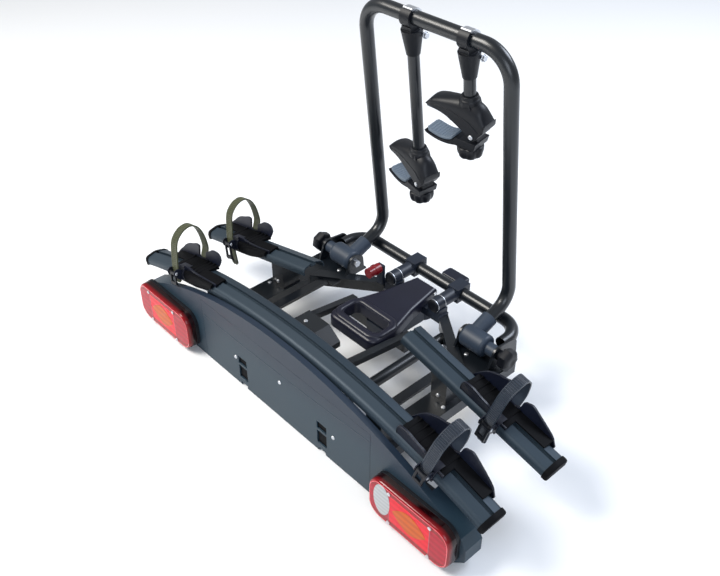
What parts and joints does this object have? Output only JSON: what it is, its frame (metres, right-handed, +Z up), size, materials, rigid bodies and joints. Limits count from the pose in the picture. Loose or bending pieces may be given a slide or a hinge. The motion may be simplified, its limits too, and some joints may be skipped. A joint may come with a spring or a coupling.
{
  "type": "tow-ball bike carrier",
  "caption": "Platform bike carrier that clamps on a tow ball, with curved wheel rails, strapped wheel holders, a folding upright with clamp arms, and a light board.",
  "frame": {"origin": "centre of the tow-ball socket in the coupling", "axes": "+X across the car towards the carrier's right as seen from behind, +Y towards the car, +Z up"},
  "size_m": [1.1144, 0.569, 0.7963],
  "materials": {
    "black_plastic": "fine-grained black plastic",
    "board_plastic": "grained slate plastic",
    "cast_metal": "matt painted casting",
    "coated_steel": "satin powder coat, near black",
    "lens_red": "clear red acrylic",
    "pad_rubber": "ribbed grey rubber",
    "plated_steel": "zinc plated",
    "rail_aluminium": "dark anodised",
    "red_plastic": "moulded red plastic",
    "strap_plastic": "ribbed olive grey nylon"
  },
  "bodies": {
    "platform": {"base_hoop": "coated_steel", "coupling_body": "cast_metal", "hoop_clamps": "cast_metal", "lamp_screws": "plated_steel", "left_front_rail": "rail_aluminium", "left_lamp_housing": "black_plastic", "left_lamp_lens": "lens_red", "left_side_frame": "coated_steel", "lever_pin": "plated_steel", "light_board": "board_plastic", "pivot_bolts": "plated_steel", "plate_panel": "board_plastic", "plug_holder": "black_plastic", "rail_end_caps": "black_plastic", "rail_supports": "coated_steel", "rear_rail": "rail_aluminium", "right_front_rail": "rail_aluminium", "right_lamp_housing": "black_plastic", "right_lamp_lens": "lens_red", "right_side_frame": "coated_steel", "support_bars": "coated_steel"},
    "lever": {"coupling_lever": "black_plastic"},
    "shoe": {"clamp_shoe": "cast_metal"},
    "release_knob": {"release_knob": "red_plastic"},
    "upright": {"upright_frame": "coated_steel", "left_upright_foot": "cast_metal", "right_upright_foot": "cast_metal"},
    "left_pivot_knob": {"left_pivot_knob": "black_plastic"},
    "right_pivot_knob": {"right_pivot_knob": "black_plastic"},
    "long_arm": {"long_arm_head": "black_plastic", "long_arm_hook": "plated_steel", "long_arm_tube": "coated_steel"},
    "long_clamp": {"long_upper_jaw": "black_plastic", "long_upper_pad": "pad_rubber", "long_jaw_pin": "plated_steel"},
    "long_lower_jaw": {"long_lower_jaw": "black_plastic", "long_lower_pad": "pad_rubber"},
    "long_jaw_knob": {"long_jaw_knob": "black_plastic"},
    "short_arm": {"short_arm_head": "black_plastic", "short_arm_hook": "plated_steel", "short_arm_tube": "coated_steel"},
    "short_clamp": {"short_upper_jaw": "black_plastic", "short_upper_pad": "pad_rubber", "short_jaw_pin": "plated_steel"},
    "short_lower_jaw": {"short_lower_jaw": "black_plastic", "short_lower_pad": "pad_rubber"},
    "short_jaw_knob": {"short_jaw_knob": "black_plastic"},
    "right_rear_holder": {"right_rear_wheel_tray": "black_plastic", "right_rear_wheel_strap": "strap_plastic"},
    "right_rear_buckle": {"right_rear_buckle_lever": "black_plastic"},
    "left_rear_holder": {"left_rear_wheel_tray": "black_plastic", "left_rear_wheel_strap": "strap_plastic"},
    "left_rear_buckle": {"left_rear_buckle_lever": "black_plastic"},
    "right_front_holder": {"right_front_wheel_tray": "black_plastic", "right_front_wheel_strap": "strap_plastic"},
    "right_front_buckle": {"right_front_buckle_lever": "black_plastic"},
    "left_front_holder": {"left_front_wheel_tray": "black_plastic", "left_front_wheel_strap": "strap_plastic"},
    "left_front_buckle": {"left_front_buckle_lever": "black_plastic"}
  },
  "joints": [
    {"name": "lever_lift", "type": "hinge", "parent": "platform", "child": "lever", "pos_m": [0, 0.008, 0.044], "axis": [1, 0, 0], "range_deg": [-80, 0]},
    {"name": "shoe_slide", "type": "slide", "parent": "platform", "child": "shoe", "axis": [0, 1, 0], "range_m": [-0.0031, 0]},
    {"name": "release_turn", "type": "hinge", "parent": "platform", "child": "release_knob", "pos_m": [-0.1, -0.06, 0.073], "axis": [0, 1, 0], "range_deg": [0, 90]},
    {"name": "upright_fold", "type": "hinge", "parent": "platform", "child": "upright", "pos_m": [0, -0.051, 0.05], "axis": [1, 0, 0], "range_deg": [0, 82]},
    {"name": "left_pivot_knob_turn", "type": "hinge", "parent": "platform", "child": "left_pivot_knob", "pos_m": [-0.3, -0.051, 0.05], "axis": [1, 0, 0], "continuous": true},
    {"name": "right_pivot_knob_turn", "type": "hinge", "parent": "platform", "child": "right_pivot_knob", "pos_m": [0.3, -0.051, 0.05], "axis": [1, 0, 0], "continuous": true},
    {"name": "long_arm_swing", "type": "hinge", "parent": "upright", "child": "long_arm", "pos_m": [-0.059, -0.0095, 0.686], "axis": [1, 0, 0], "range_deg": [-100, 0]},
    {"name": "long_clamp_swivel", "type": "hinge", "parent": "long_arm", "child": "long_clamp", "pos_m": [-0.059, 0.03095, 0.37663], "axis": [0, -0.1297, 0.9916], "range_deg": [-90, 0]},
    {"name": "long_jaw_close", "type": "hinge", "parent": "long_clamp", "child": "long_lower_jaw", "pos_m": [-0.04139, 0.03644, 0.30575], "axis": [0.2079, 0.9699, 0.1268], "range_deg": [0, 16.11]},
    {"name": "long_jaw_knob_turn", "type": "hinge", "parent": "long_clamp", "child": "long_jaw_knob", "pos_m": [-0.059, 0.04625, 0.25963], "axis": [0, -0.1297, 0.9916], "range_deg": [0, 580]},
    {"name": "short_arm_swing", "type": "hinge", "parent": "upright", "child": "short_arm", "pos_m": [0.092, -0.0095, 0.686], "axis": [1, 0, 0], "range_deg": [-100, 0]},
    {"name": "short_clamp_swivel", "type": "hinge", "parent": "short_arm", "child": "short_clamp", "pos_m": [0.092, 0.00696, 0.56007], "axis": [0, -0.1297, 0.9916], "range_deg": [-90, 0]},
    {"name": "short_jaw_close", "type": "hinge", "parent": "short_clamp", "child": "short_lower_jaw", "pos_m": [0.10993, 0.01772, 0.48988], "axis": [-0.0872, 0.9878, 0.1292], "range_deg": [0, 16.11]},
    {"name": "short_jaw_knob_turn", "type": "hinge", "parent": "short_clamp", "child": "short_jaw_knob", "pos_m": [0.092, 0.02226, 0.44307], "axis": [0, -0.1297, 0.9916], "range_deg": [0, 580]},
    {"name": "right_rear_holder_slide", "type": "hinge", "parent": "platform", "child": "right_rear_holder", "pos_m": [0, -0.382, -1.561], "axis": [0, 1, 0], "range_deg": [-2.75, 0.34]},
    {"name": "right_rear_buckle_lift", "type": "hinge", "parent": "right_rear_holder", "child": "right_rear_buckle", "pos_m": [0.41649, -0.432, 0.08926], "axis": [0.9696, 0, -0.2447], "range_deg": [-60, 0]},
    {"name": "left_rear_holder_slide", "type": "hinge", "parent": "platform", "child": "left_rear_holder", "pos_m": [0, -0.382, -1.561], "axis": [0, 1, 0], "range_deg": [-1.79, 0.52]},
    {"name": "left_rear_buckle_lift", "type": "hinge", "parent": "left_rear_holder", "child": "left_rear_buckle", "pos_m": [-0.38445, -0.432, 0.09701], "axis": [0.9742, 0, 0.2259], "range_deg": [-60, 0]},
    {"name": "right_front_holder_slide", "type": "slide", "parent": "platform", "child": "right_front_holder", "axis": [0.9737, 0, -0.2278], "range_m": [-0.0809, 0.013]},
    {"name": "right_front_buckle_lift", "type": "hinge", "parent": "right_front_holder", "child": "right_front_buckle", "pos_m": [0.40946, -0.248, 0.07528], "axis": [0.9737, 0, -0.2278], "range_deg": [-60, 0]},
    {"name": "left_front_holder_slide", "type": "slide", "parent": "platform", "child": "left_front_holder", "axis": [-0.9737, 0, -0.2278], "range_m": [-0.0675, 0.0035]},
    {"name": "left_front_buckle_lift", "type": "hinge", "parent": "left_front_holder", "child": "left_front_buckle", "pos_m": [-0.42846, -0.248, 0.07084], "axis": [0.9737, 0, 0.2278], "range_deg": [-60, 0]}
  ],
  "couplings": [
    {"joint": "shoe_slide", "follows": "lever_lift", "m_per_rad": 0.00215},
    {"joint": "long_jaw_close", "follows": "long_jaw_knob_turn", "ratio": 0.02777},
    {"joint": "short_jaw_close", "follows": "short_jaw_knob_turn", "ratio": 0.02777}
  ]
}
